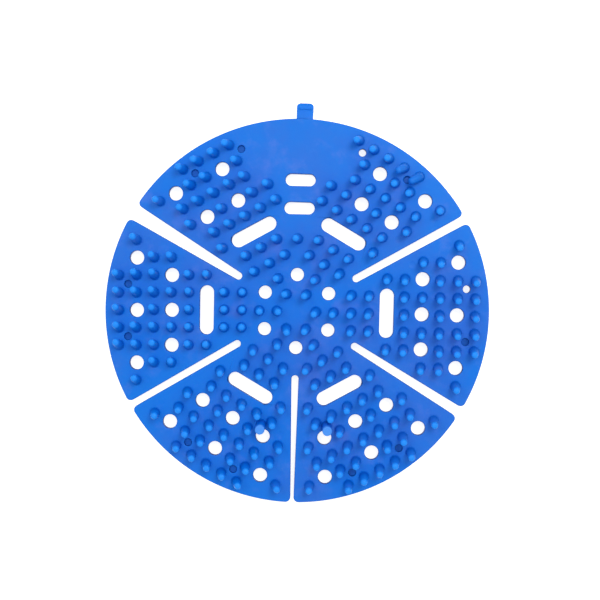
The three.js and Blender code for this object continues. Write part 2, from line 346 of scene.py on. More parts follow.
class Bench:
    """The modelling steps that the pieces share, done with Blender's own operators."""

    FLAT_FACES_FIRST = 100

    @staticmethod
    def clear() -> None:
        """Leaves object mode and deselects every object."""
        if bpy.context.object and bpy.context.object.mode != "OBJECT":
            bpy.ops.object.mode_set(mode="OBJECT")
        bpy.ops.object.select_all(action="DESELECT")

    @staticmethod
    def focus(piece: Piece) -> None:
        """Makes a piece the only selected object and the active one."""
        Bench.clear()
        piece.select_set(True)
        bpy.context.view_layer.objects.active = piece

    @staticmethod
    def disc(radius: float, sides: int, height: float, at: Vector | None = None) -> Piece:
        """Adds a filled circle at its place and leaves it selected.

        Args:
            radius: The circle's radius.
            sides: How many corners it has.
            height: Its height above the ground.
            at: Its middle in the plane, or None for the origin.

        Returns:
            The new object, in object mode, at the origin.
        """
        Bench.clear()
        spot = at or Vector((0, 0))
        bpy.ops.mesh.primitive_circle_add(
            vertices=sides, radius=radius, fill_type="NGON", location=(spot.x, spot.y, height)
        )
        bpy.ops.object.transform_apply(location=True, rotation=True, scale=True)
        return bpy.context.object

    @staticmethod
    def tower(
        rings: list[tuple[float, float]], sides: int, pointed: bool = False
    ) -> Piece:
        """Models a turned shape from its rings, upwards or downwards.

        Args:
            rings: The radius and height of each ring, from one end to the other.
            sides: How many corners each ring has.
            pointed: Whether the last ring closes to a point.

        Returns:
            The closed shape, standing on the axis.
        """
        made = Bench.disc(rings[0][0], sides, rings[0][1])
        bpy.ops.object.mode_set(mode="EDIT")
        bpy.ops.mesh.select_all(action="SELECT")
        for (radius, height), (next_radius, next_height) in zip(rings, rings[1:]):
            bpy.ops.mesh.extrude_region_move(
                TRANSFORM_OT_translate={"value": (0, 0, next_height - height)}
            )
            scale = next_radius / radius
            bpy.ops.transform.resize(value=(scale, scale, 1), center_override=(0, 0, next_height))
        if pointed:
            bpy.ops.mesh.merge(type="CENTER")
        Bench.tidy(made)
        return made

    @staticmethod
    def tidy(piece: Piece) -> None:
        """Merges doubles, turns every face outward and goes back to object mode."""
        if piece.mode != "EDIT":
            Bench.focus(piece)
            bpy.ops.object.mode_set(mode="EDIT")
        bpy.ops.mesh.select_all(action="SELECT")
        bpy.ops.mesh.remove_doubles(threshold=DOUBLES)
        bpy.ops.mesh.normals_make_consistent(inside=False)
        bpy.ops.object.mode_set(mode="OBJECT")

    @staticmethod
    def pick(piece: Piece, chosen: Callable[[Vector], bool]) -> None:
        """Goes into edit mode with those vertices selected that a rule picks by their place.

        Args:
            piece: The piece.
            chosen: The rule, which is given a vertex's place.
        """
        Bench.focus(piece)
        bpy.ops.object.mode_set(mode="EDIT")
        bpy.ops.mesh.select_mode(type="VERT")
        bpy.ops.mesh.select_all(action="DESELECT")
        bpy.ops.object.mode_set(mode="OBJECT")
        for vertex in piece.data.vertices:
            vertex.select = chosen(vertex.co)
        bpy.ops.object.mode_set(mode="EDIT")

    @staticmethod
    def keep_upright(piece: Piece) -> None:
        """Keeps only the upright ones of the selected edges, in edit mode."""
        bpy.ops.object.mode_set(mode="OBJECT")
        points = piece.data.vertices
        for edge in piece.data.edges:
            first, second = (points[i].co for i in edge.vertices)
            edge.select = edge.select and (first - second).xy.length < PLUMB
        bpy.ops.object.mode_set(mode="EDIT")

    @staticmethod
    def slab(
        outline: Hole, bottom: float, top: float, sides: int, far_scale: float = 1.0
    ) -> Piece:
        """Models an upright round or long slab with round ends.

        Args:
            outline: The hole whose outline the slab has.
            bottom: The slab's lower height.
            top: The slab's upper height.
            sides: How many corners a round one has.
            far_scale: How wide the far end is against the near end.

        Returns:
            The closed slab.
        """
        made = Bench.disc(outline.width / 2, sides, bottom, outline.start)
        along = outline.end - outline.start
        if along.length > NO_LENGTH:
            Bench.pick(made, lambda p: (p.xy - outline.start).dot(along) > 0)
            bpy.ops.transform.translate(value=(along.x, along.y, 0))
            if far_scale != 1.0:
                centre = (outline.end.x, outline.end.y, bottom)
                bpy.ops.transform.resize(value=(far_scale,) * 3, center_override=centre)
        else:
            bpy.ops.object.mode_set(mode="EDIT")
        bpy.ops.mesh.select_all(action="SELECT")
        bpy.ops.mesh.extrude_region_move(TRANSFORM_OT_translate={"value": (0, 0, top - bottom)})
        Bench.tidy(made)
        return made

    @staticmethod
    def join(pieces: list[Piece], name: str) -> Piece:
        """Joins pieces into the first of them and names it.

        Args:
            pieces: The pieces, of which only the first remains.
            name: Its name from then on.

        Returns:
            The joined piece.
        """
        Bench.clear()
        for piece in pieces:
            piece.select_set(True)
        bpy.context.view_layer.objects.active = pieces[0]
        if len(pieces) > 1:
            bpy.ops.object.join()
        pieces[0].name = name
        pieces[0].data.name = name
        return pieces[0]

    @staticmethod
    def copies(
        template: Piece, places: Iterable[Matrix], name: str
    ) -> Piece:
        """Copies a model to each place, joins the copies and removes the model.

        Args:
            template: The model, standing at the origin.
            places: Where each copy goes.
            name: The joined piece's name.

        Returns:
            The joined piece.
        """
        made = []
        for place in places:
            mesh = template.data.copy()
            mesh.transform(place)
            copy = bpy.data.objects.new(name, mesh)
            bpy.context.collection.objects.link(copy)
            made.append(copy)
        bpy.data.objects.remove(template)
        return Bench.join(made, name)

    @staticmethod
    def cut(piece: Piece, cutters: list[Piece]) -> None:
        """Cuts a set of cutters out of a piece.

        Args:
            piece: The piece.
            cutters: Closed shapes that don't touch each other, removed afterwards.
        """
        cutter = Bench.join(cutters, "cutter")
        modifier = piece.modifiers.new("cut", "BOOLEAN")
        modifier.operation = "DIFFERENCE"
        modifier.solver = "EXACT"
        modifier.object = cutter
        Bench.apply(piece, modifier.name)
        bpy.data.objects.remove(cutter)

    @staticmethod
    def apply(piece: Piece, modifier: str) -> None:
        """Applies a modifier."""
        Bench.focus(piece)
        bpy.ops.object.modifier_apply(modifier=modifier)

    @staticmethod
    def soften(piece: Piece, width: float, segments: int, limit: float) -> None:
        """Rounds a piece's edges.

        Args:
            piece: The piece.
            width: How far the rounding reaches.
            segments: How many faces it has across.
            limit: The least angle of an edge that is rounded, in degrees.
        """
        modifier = piece.modifiers.new("soften", "BEVEL")
        modifier.width = width
        modifier.segments = segments
        modifier.limit_method = "ANGLE"
        modifier.angle_limit = math.radians(limit)
        modifier.use_clamp_overlap = False
        Bench.apply(piece, modifier.name)

    @staticmethod
    def smooth(piece: Piece, angle: float, weighted: bool = False) -> None:
        """Shades a piece smooth.

        Args:
            piece: The piece.
            angle: The angle in degrees above which an edge stays sharp.
            weighted: Whether large flat faces stay flat beside rounded edges.
        """
        Bench.focus(piece)
        bpy.ops.object.shade_smooth_by_angle(angle=math.radians(angle))
        if weighted:
            modifier = piece.modifiers.new("weighted", "WEIGHTED_NORMAL")
            modifier.keep_sharp = True
            modifier.weight = Bench.FLAT_FACES_FIRST
            Bench.apply(piece, modifier.name)


@dataclass
class Plate:
    """The flat disc with its slots, drains, pockets and sink marks."""

    layout: Layout
    rim_steps: int = 360
    slot_sides: int = 26
    hole_sides: int = 30
    slot_tail: float = 10 * MM
    slot_end: float = 0.5 * MM
    corner_radius: float = 2.2 * MM
    corner_steps: int = 6
    corner_overlap: float = 0.3 * MM
    edge_radius: float = 0.45 * MM
    edge_steps: int = 3
    edge_limit: float = 40
    smooth_limit: float = 35
    pocket_depth: float = 1.2 * MM
    mark_depth: float = 0.16 * MM
    mark_sides: int = 20
    mark_lip: float = 1.02
    mark_rings: Profile = ((1.0, 0.0), (0.72, 0.55), (0.35, 0.92), (0.1, 1.0))
    overrun: float = 1 * MM
    cell: float = 12.3 * MM
    rim_corners: float = 1.5
    rim_merge: float = 0.25 * MM
    merge: float = 0.05 * MM

    def build(self) -> Piece:
        """Models the plate."""
        lay = self.layout
        plate = Bench.disc(lay.disc_radius, self.rim_steps, lay.plate_bottom)
        bpy.ops.object.mode_set(mode="EDIT")
        bpy.ops.mesh.select_all(action="SELECT")
        thickness = lay.plate_top - lay.plate_bottom
        bpy.ops.mesh.extrude_region_move(TRANSFORM_OT_translate={"value": (0, 0, thickness)})
        Bench.tidy(plate)
        Bench.cut(plate, [self._slot(angle) for angle in lay.slots])
        self._round_corners(plate)
        self._divide(plate)
        cutters = [self._cutter(hole) for hole in lay.holes()]
        cutters += [self._mark(at) for at in lay.feet(marked=True)]
        Bench.cut(plate, cutters)
        self._clean_rim(plate)
        Bench.soften(plate, self.edge_radius, self.edge_steps, self.edge_limit)
        lay.swing(plate)
        Bench.tidy(plate)
        Bench.smooth(plate, self.smooth_limit, weighted=True)
        plate.name = plate.data.name = "plate"
        return plate

    def _slot(self, angle: float) -> Piece:
        """Models the cutter of one open slot.

        Args:
            angle: The direction of the slot in degrees.

        Returns:
            The cutter, which reaches out past the rim.
        """
        lay = self.layout
        start = polar(lay.slot_start + lay.slot_inner / 2, angle)
        end = polar(lay.disc_radius, angle)
        slot = Hole(start, end, lay.slot_inner, Depth.THROUGH)
        low, high = lay.plate_bottom - self.overrun, lay.plate_top + self.overrun
        made = Bench.slab(slot, low, high, self.slot_sides, lay.slot_outer / lay.slot_inner)
        out = polar(self.slot_tail, angle)
        Bench.pick(made, lambda p: (p.xy - end).dot(out) > -self.slot_end * out.length)
        bpy.ops.transform.translate(value=(out.x, out.y, 0))
        Bench.tidy(made)
        return made

    def _corner_cutter(self, side: int) -> Piece:
        """Models what rounds one corner of a flap, for a slot along +X.

        Args:
            side: 1 for the flap on the left of the slot, -1 for the right.

        Returns:
            The cutter, a block with a round hollow.
        """
        lay, radius = self.layout, self.corner_radius
        aside = lay.slot_outer / 2 + radius
        reach = math.sqrt((lay.disc_radius - radius) ** 2 - aside**2)
        low, high = lay.plate_bottom - self.overrun, lay.plate_top + self.overrun
        size = Vector((radius + self.overrun, radius + self.corner_overlap, high - low))
        middle = Vector((reach + size.x / 2, side * (aside - size.y / 2), (low + high) / 2))
        Bench.clear()
        bpy.ops.mesh.primitive_cube_add(size=1, location=middle, scale=size)
        bpy.ops.object.transform_apply(location=True, rotation=True, scale=True)
        block = bpy.context.object
        centre = Vector((reach, side * aside))
        round_part = Hole(centre, centre, 2 * radius, Depth.THROUGH)
        sides = 4 * self.corner_steps
        hollow = Bench.slab(round_part, low - self.overrun, high + self.overrun, sides)
        Bench.cut(block, [hollow])
        return block

    def _round_corners(self, plate: Piece) -> None:
        """Rounds the corners of the flaps, where the slots meet the rim."""
        turns = [Matrix.Rotation(math.radians(angle), 4, "Z") for angle in self.layout.slots]
        cutters = [Bench.copies(self._corner_cutter(side), turns, "corner") for side in (1, -1)]
        Bench.cut(plate, cutters)

    def _clean_rim(self, plate: Piece) -> None:
        """Merges points that the cuts left almost together, most of them on the rim."""
        rim = self.layout.disc_radius - self.rim_corners * self.corner_radius
        Bench.pick(plate, lambda p: p.xy.length > rim)
        bpy.ops.mesh.remove_doubles(threshold=self.rim_merge)
        bpy.ops.mesh.select_all(action="SELECT")
        bpy.ops.mesh.remove_doubles(threshold=self.merge)
        Bench.tidy(plate)

    def _divide(self, plate: Piece) -> None:
        """Divides the flat faces by a square grid of lines, so that none is large."""
        count = math.floor(self.layout.disc_radius / self.cell)
        Bench.pick(plate, lambda p: True)
        for step in range(-count, count + 1):
            place = (step + 0.5) * self.cell
            for line, across in (((place, 0, 0), (1, 0, 0)), ((0, place, 0), (0, 1, 0))):
                bpy.ops.mesh.select_all(action="SELECT")
                bpy.ops.mesh.bisect(plane_co=line, plane_no=across)
        Bench.tidy(plate)

    def _cutter(self, hole: Hole) -> Piece:
        """Models the cutter of one drain or pocket.

        Args:
            hole: The drain or pocket.

        Returns:
            The cutter.
        """
        lay = self.layout
        floor = lay.plate_bottom - self.overrun
        if hole.depth is Depth.POCKET:
            floor = lay.plate_top - self.pocket_depth
        return Bench.slab(hole, floor, lay.plate_top + self.overrun, self.hole_sides)

    def _mark(self, at: Vector) -> Piece:
        """Models the cutter of one shallow round sink mark.

        Args:
            at: Where the mark lies, in the straight layout.

        Returns:
            The cutter.
        """
        lay = self.layout
        half = lay.mark / 2
        rings = [(half * self.mark_lip, lay.plate_top + self.overrun)]
        for width, depth in self.mark_rings:
            rings.append((half * width, lay.plate_top - depth * self.mark_depth))
        made = Bench.tower(rings, self.mark_sides)
        made.data.transform(Matrix.Translation((at.x, at.y, 0)))
        return made


@dataclass(frozen=True)
class Lean:
    """How far the pins of one flap lean aside at their tips, in millimetres.

    Args:
        x: The lean along X in the middle of the disc.
        y: The lean along Y in the middle of the disc.
        x_by_x: How the lean along X grows with each millimetre of X.
        x_by_y: How the lean along X grows with each millimetre of Y.
        y_by_x: How the lean along Y grows with each millimetre of X.
        y_by_y: How the lean along Y grows with each millimetre of Y.
    """

    x: float
    y: float
    x_by_x: float
    x_by_y: float
    y_by_x: float
    y_by_y: float

    def at(self, place: Vector, most: float) -> Vector:
        """Returns the lean of a pin.

        Args:
            place: Where the pin stands.
            most: The largest lean.

        Returns:
            How far its tip lies aside of its foot, in metres.
        """
        lean = Vector(
            (
                self.x * MM + self.x_by_x * place.x + self.x_by_y * place.y,
                self.y * MM + self.y_by_x * place.x + self.y_by_y * place.y,
            )
        )
        return lean * min(1.0, most / max(lean.length, NO_LENGTH))


@dataclass
class Pins:
    """The rows of tapered pins with rounded tips. The profile is in millimetres."""

    layout: Layout
    sides: int = 12
    profile: Profile = (
        (2.6, -0.5),
        (2.58, 0.0),
        (2.22, 0.4),
        (1.66, 6.1),
        (1.46, 6.85),
        (1.02, 7.3),
    )
    tip_height: float = 7.5 * MM
    tip_flat: float = 0.45 * MM
    smooth_limit: float = 60
    shaft_ring: int = 2
    bend_length: float = 2.6 * MM
    bend_overlap: float = 1.2
    bend_rings: int = 7
    stray_lean: float = 0.15 * MM
    seed: int = 7
    most_lean: float = 1.8 * MM
    leans: tuple[Lean, ...] = (
        Lean(-1.33, -1.31, 0.0095, -0.0070, -0.0087, -0.0055),
        Lean(-1.01, -0.67, -0.0200, -0.0063, -0.0337, 0.0140),
        Lean(-0.85, 0.01, -0.0045, -0.0183, -0.0104, -0.0021),
        Lean(1.05, -0.76, 0.0218, -0.0142, -0.0358, -0.0035),
        Lean(0.19, -1.77, -0.0022, -0.0114, -0.0120, -0.0042),
        Lean(-1.50, -1.56, 0.0026, -0.0155, -0.0215, -0.0032),
    )

    def build(self) -> Piece:
        """Models one pin, copies it to every place and adds the folded ones."""
        pins = self.layout.pins()
        draw = random.Random(self.seed)
        straight = [pin for pin in pins if not pin.bend]
        places = [self._place(pin, draw) for pin in straight]
        rows = Bench.copies(self._model(), places, "pins")
        folded = [self._folded(pin) for pin in pins if pin.bend]
        made = Bench.join([rows, *folded], "pins")
        Bench.smooth(made, self.smooth_limit)
        log.info("pins: %d", len(pins))
        return made

    def _rings(self) -> list[tuple[float, float]]:
        """Returns the radius and height of each ring, from the root in the plate to the tip."""
        return [*in_metres(self.profile), (self.tip_flat, self.tip_height)]

    def _model(self) -> Piece:
        """Models one pin on the axis, standing on height 0."""
        return Bench.tower(self._rings(), self.sides, pointed=True)

    def _place(self, pin: Pin, draw: random.Random) -> Matrix:
        """Returns where a straight pin goes.

        Args:
            pin: The pin.
            draw: Where its stray lean and its turn come from.

        Returns:
            Its place, its lean and its turn as one matrix.
        """
        lean = self.leans[pin.sector].at(pin.at, self.most_lean)
        stray = Vector((draw.gauss(0, self.stray_lean), draw.gauss(0, self.stray_lean)))
        turn = Matrix.Rotation(draw.uniform(0, math.tau), 4, "Z")
        return leaning(pin.at, self.layout.plate_top, lean + stray, self.tip_height) @ turn

    def _folded(self, pin: Pin) -> Piece:
        """Models one pin that is folded over just above the plate.

        Args:
            pin: Its place and its bend.

        Returns:
            The pin, in its place.
        """
        rings = self._rings()
        above = self.shaft_ring + 1
        low, high = rings[self.shaft_ring], rings[above]
        between = []
        for step in range(1, self.bend_rings):
            height = low[1] + (self.bend_length * self.bend_overlap) * step / self.bend_rings
            share = (height - low[1]) / (high[1] - low[1])
            between.append((low[0] + (high[0] - low[0]) * share, height))
        rings[above:above] = between
        made = Bench.tower(rings, self.sides, pointed=True)
        self._bend(made, pin)
        made.data.transform(Matrix.Translation((pin.at.x, pin.at.y, self.layout.plate_top)))
        return made

    def _bend(self, made: Piece, pin: Pin) -> None:
        """Bends an upright pin along an arc, and lets what lies beyond the arc run on straight.

        Args:
            made: The pin's model, standing on height 0.
            pin: How far it bends, and where it then points.
        """
        lean, heading = math.radians(pin.bend), math.radians(pin.heading)
        out = Vector((math.cos(heading), math.sin(heading), 0))
        radius = self.bend_length / lean
        for vertex in made.data.vertices:
            along, height = vertex.co.dot(out), vertex.co.z
            if height <= 0:
                continue
            aside = vertex.co - out * along
            aside.z = 0
            angle = min(1.0, height / self.bend_length) * lean
            rest = max(0.0, height - self.bend_length)
            sine, cosine = math.sin(angle), math.cos(angle)
            reach = (radius - along) * (1 - cosine) + along + rest * sine
            rise = (radius - along) * sine + rest * cosine
            vertex.co = aside + out * reach + Vector((0, 0, rise))


@dataclass
class Posts:
    """The two flat-topped posts beside the lower slot. Profile and leans are in millimetres."""

    layout: Layout
    sides: int = 28
    profile: Profile = (
        (2.65, -0.5),
        (2.65, 0.0),
        (2.35, 0.4),
        (2.25, 0.8),
        (2.17, 7.1),
        (2.05, 7.38),
        (1.75, 7.5),
    )
    leans: Profile = ((-0.27, -1.55), (0.41, -1.37))
    smooth_limit: float = 40

    def build(self) -> Piece:
        """Models one post and copies it."""
        rings = in_metres(self.profile)
        floor, height = self.layout.plate_top, rings[-1][1]
        places = [
            leaning(at, floor, Vector(lean) * MM, height)
            for at, lean in zip(self.layout.posts(), self.leans)
        ]
        made = Bench.copies(Bench.tower(rings, self.sides), places, "posts")
        Bench.smooth(made, self.smooth_limit, weighted=True)
        return made


@dataclass
class Feet:
    """The short feet under the plate, and the round pad in the middle."""

    layout: Layout
    sides: int = 16
    pad_sides: int = 32
    pad_radius: float = 5 * MM
    edge: float = 0.25 * MM
    edge_share: float = 0.3
    root: float = 0.5 * MM
    smooth_limit: float = 50

    def build(self) -> Piece:
        """Models a foot and the pad, and copies the foot to every place."""
        lay = self.layout
        spots = [lay.swung(at) for at in lay.feet()]
        foot = self._model(lay.foot_base / 2, lay.foot_tip / 2, self.sides)
        feet = Bench.copies(foot, [Matrix.Translation((p.x, p.y, 0)) for p in spots], "feet")
        drop = (lay.foot_base - lay.foot_tip) / 2
        pad = self._model(self.pad_radius, self.pad_radius - drop, self.pad_sides)
        made = Bench.join([feet, pad], "feet")
        Bench.smooth(made, self.smooth_limit)
        return made

    def _model(self, base: float, tip: float, sides: int) -> Piece:
        """Models one foot, from its root in the plate down to its tip.

        Args:
            base: Its radius at the plate.
            tip: Its radius at the tip.
            sides: How many corners it has.

        Returns:
            The foot, on the axis.
        """
        floor = self.layout.plate_bottom
        rings = [
            (base + self.edge, floor + self.root),
            (base + self.edge, floor),
            (base, floor - self.edge),
            (tip, self.edge),
            (tip - self.edge_share * self.edge, self.edge_share * self.edge),
            (tip - self.edge, 0),
        ]
        return Bench.tower(rings, sides)


@dataclass
class Tab:
    """The grip tab: a thin tongue on the rim with a swelling at its outer half."""

    layout: Layout
    width: float = 7.8 * MM
    reach: float = 7.2 * MM
    thickness: float = 2.2 * MM
    corner: float = 1.7 * MM
    corner_steps: int = 6
    offset: float = 0.8 * MM
    root: float = 2.5 * MM
    swell: float = 0.5 * MM
    swell_margin: float = 0.55 * MM
    swell_length: float = 3.6 * MM
    edge: float = 0.3 * MM
    edge_steps: int = 3
    edge_limit: float = 35
    smooth_limit: float = 50
    end_zone: float = 0.1 * MM
    neck_step: float = 0.8 * MM
    neck_share: float = 0.98

    def build(self) -> Piece:
        """Models the tab."""
        lay = self.layout
        inner, outer = lay.disc_radius - self.root, lay.disc_radius + self.reach
        Bench.clear()
        bpy.ops.mesh.primitive_cube_add(
            size=1,
            location=(self.offset, (inner + outer) / 2, lay.plate_bottom + self.thickness / 2),
            scale=(self.width, outer - inner, self.thickness),
        )
        bpy.ops.object.transform_apply(location=True, rotation=True, scale=True)
        tab = bpy.context.object
        Bench.pick(tab, lambda p: p.y > outer - self.end_zone)
        bpy.ops.mesh.select_mode(type="EDGE")
        Bench.keep_upright(tab)
        bpy.ops.mesh.bevel(
            offset=self.corner, segments=self.corner_steps, affect="EDGES", clamp_overlap=False
        )
        bpy.ops.mesh.select_all(action="SELECT")
        swelling = outer - self.swell_length
        bpy.ops.mesh.bisect(plane_co=(0, swelling, 0), plane_no=(0, 1, 0))
        bpy.ops.mesh.select_all(action="SELECT")
        neck = swelling - self.neck_step
        bpy.ops.mesh.bisect(plane_co=(0, neck, 0), plane_no=(0, 1, 0))
        Bench.pick(tab, lambda p: p.y < neck + ON_PLANE)
        bpy.ops.transform.resize(
            value=(self.neck_share, 1, 1), center_override=(self.offset, neck, 0)
        )
        top = lay.plate_bottom + self.thickness - ON_PLANE
        Bench.pick(tab, lambda p: p.y > swelling - ON_PLANE and p.z > top)
        bpy.ops.mesh.select_mode(type="FACE")
        bpy.ops.mesh.inset(thickness=self.swell_margin, use_even_offset=True)
        bpy.ops.mesh.inset(thickness=self.swell_margin, depth=self.swell, use_even_offset=True)
        Bench.tidy(tab)
        Bench.soften(tab, self.edge, self.edge_steps, self.edge_limit)
        lay.swing(tab)
        Bench.tidy(tab)
        Bench.smooth(tab, self.smooth_limit, weighted=True)
        tab.name = tab.data.name = "tab"
        return tab


@dataclass(frozen=True)
class Cloud:
    """A soft random pattern on the surface.

    Args:
        scale: How fine its patches are.
        detail: How many finer layers it has.
        roughness: How strong the finer layers are.
        low: The value at which it begins to show.
        high: The value at which it shows in full.
    """

    scale: float
    detail: float
    roughness: float = 0.5
    low: float = 0.0
    high: float = 1.0


class Nodes:
    """A node tree under construction, with short ways to add and link nodes."""

    # The Mix node has sockets for each kind of value, and these are the ones for colours
    MIX_INPUTS = (6, 7)
    MIX_OUTPUT = 2

    def __init__(self, tree: bpy.types.NodeTree) -> None:
        """Starts on a tree."""
        self.tree = tree

    def add(self, kind: str, **values: object) -> bpy.types.Node:
        """Adds a node and sets its properties."""
        node = self.tree.nodes.new(kind)
        for name, value in values.items():
            setattr(node, name, value)
        return node

    def link(self, source: Socket, target: Socket) -> None:
        """Links an output to an input."""
        self.tree.links.new(source, target)

    def upright(self, vector: Socket) -> Socket:
        """Returns the Z of a vector."""
        node = self.add("ShaderNodeSeparateXYZ")
        self.link(vector, node.inputs[0])
        return node.outputs["Z"]

    def fold(self, operation: str, first: Socket, *others: Socket) -> Socket:
        """Makes one value of several.

        Args:
            operation: What is done to each two values, such as MULTIPLY or MAXIMUM.
            first: The first value.
            *others: The values that join it one by one.

        Returns:
            The result.
        """
        result = first
        for value in others:
            node = self.add("ShaderNodeMath", operation=operation)
            self.link(result, node.inputs[0])
            self.link(value, node.inputs[1])
            result = node.outputs[0]
        return result

    def noise(self, place: Socket, cloud: Cloud) -> Socket:
        """Adds the noise texture of a pattern.

        Args:
            place: The place on the disc.
            cloud: The pattern.

        Returns:
            The texture's value.
        """
        node = self.add("ShaderNodeTexNoise")
        node.inputs["Scale"].default_value = cloud.scale
        node.inputs["Detail"].default_value = cloud.detail
        node.inputs["Roughness"].default_value = cloud.roughness
        self.link(place, node.inputs["Vector"])
        return node.outputs["Fac"]

    def ramp(
        self, value: Socket, low: float, high: float, to_low: float = 0, to_high: float = 1
    ) -> Socket:
        """Maps a value smoothly from one range to another.

        Args:
            value: The value.
            low: Where the first range starts.
            high: Where it ends, which may be lower.
            to_low: What the value becomes at the start.
            to_high: What it becomes at the end.

        Returns:
            The mapped value.
        """
        node = self.add("ShaderNodeMapRange", interpolation_type="SMOOTHSTEP")
        settings = {"From Min": low, "From Max": high, "To Min": to_low, "To Max": to_high}
        for name, number in settings.items():
            node.inputs[name].default_value = number
        self.link(value, node.inputs["Value"])
        return node.outputs["Result"]

    def cloud(self, place: Socket, cloud: Cloud, to_low: float = 0, to_high: float = 1) -> Socket:
        """Returns a pattern's value between two ends."""
        return self.ramp(self.noise(place, cloud), cloud.low, cloud.high, to_low, to_high)

    def blend(self, share: Socket, under: Socket, over: Socket | Colour) -> Socket:
        """Lays a share of one colour over another.

        Args:
            share: How much of the upper colour shows, from 0 to 1.
            under: The lower colour.
            over: The upper colour.

        Returns:
            The mixed colour.
        """
        node = self.add("ShaderNodeMix", data_type="RGBA")
        below, above = (node.inputs[i] for i in self.MIX_INPUTS)
        self.link(share, node.inputs["Factor"])
        self.link(under, below)
        if isinstance(over, tuple):
            above.default_value = (*over, 1)
        else:
            self.link(over, above)
        return node.outputs[self.MIX_OUTPUT]

    def bump(
        self, height: Socket, strength: float, depth: float, under: Socket | None = None
    ) -> Socket:
        """Adds a bump.

        Args:
            height: The pattern of heights.
            strength: How strongly it shows, from 0 to 1.
            depth: How deep it is in metres.
            under: The normal of the bump below it, if there is one.

        Returns:
            The normal.
        """
        node = self.add("ShaderNodeBump")
        node.inputs["Strength"].default_value = strength
        node.inputs["Distance"].default_value = depth
        self.link(height, node.inputs["Height"])
        if under:
            self.link(under, node.inputs["Normal"])
        return node.outputs["Normal"]

    def seen(self, hidden: float, shown: float) -> Socket:
        """Returns a value that is one number to light, and another to camera, gloss and glass.

        Args:
            hidden: The number for the light on the object.
            shown: The number for what the camera sees, directly, mirrored or through glass.

        Returns:
            The value.
        """
        path = self.add("ShaderNodeLightPath").outputs
        rays = [path[f"Is {kind} Ray"] for kind in ("Camera", "Glossy", "Transmission")]
        level = self.add("ShaderNodeMapRange")
        level.inputs["To Min"].default_value = hidden
        level.inputs["To Max"].default_value = shown
        self.link(self.fold("MAXIMUM", *rays), level.inputs["Value"])
        return level.outputs["Result"]


@dataclass(frozen=True)
class Finish:
    """What one material of the vinyl has of its own.

    Args:
        name: The material's name.
        plain: The tone of the flat faces.
        tip: The painted light on what stands high above the plate: the pin tips and post tops are
            painted paler where light falls on them.
        hollow_shade: How much painted shade darkens the drains' walls and the pockets' floors, from
            0 to 1.
    """

    name: str
    plain: Colour = (0.001, 0.180, 0.745)
    # Painted light: the tone that the pin tips and post tops are painted, paler where light falls
    # on them.
    tip: Colour = (0.012, 0.27, 0.95)
    # Strength of the painted shade in the hollows.
    hollow_shade: float = 1.0


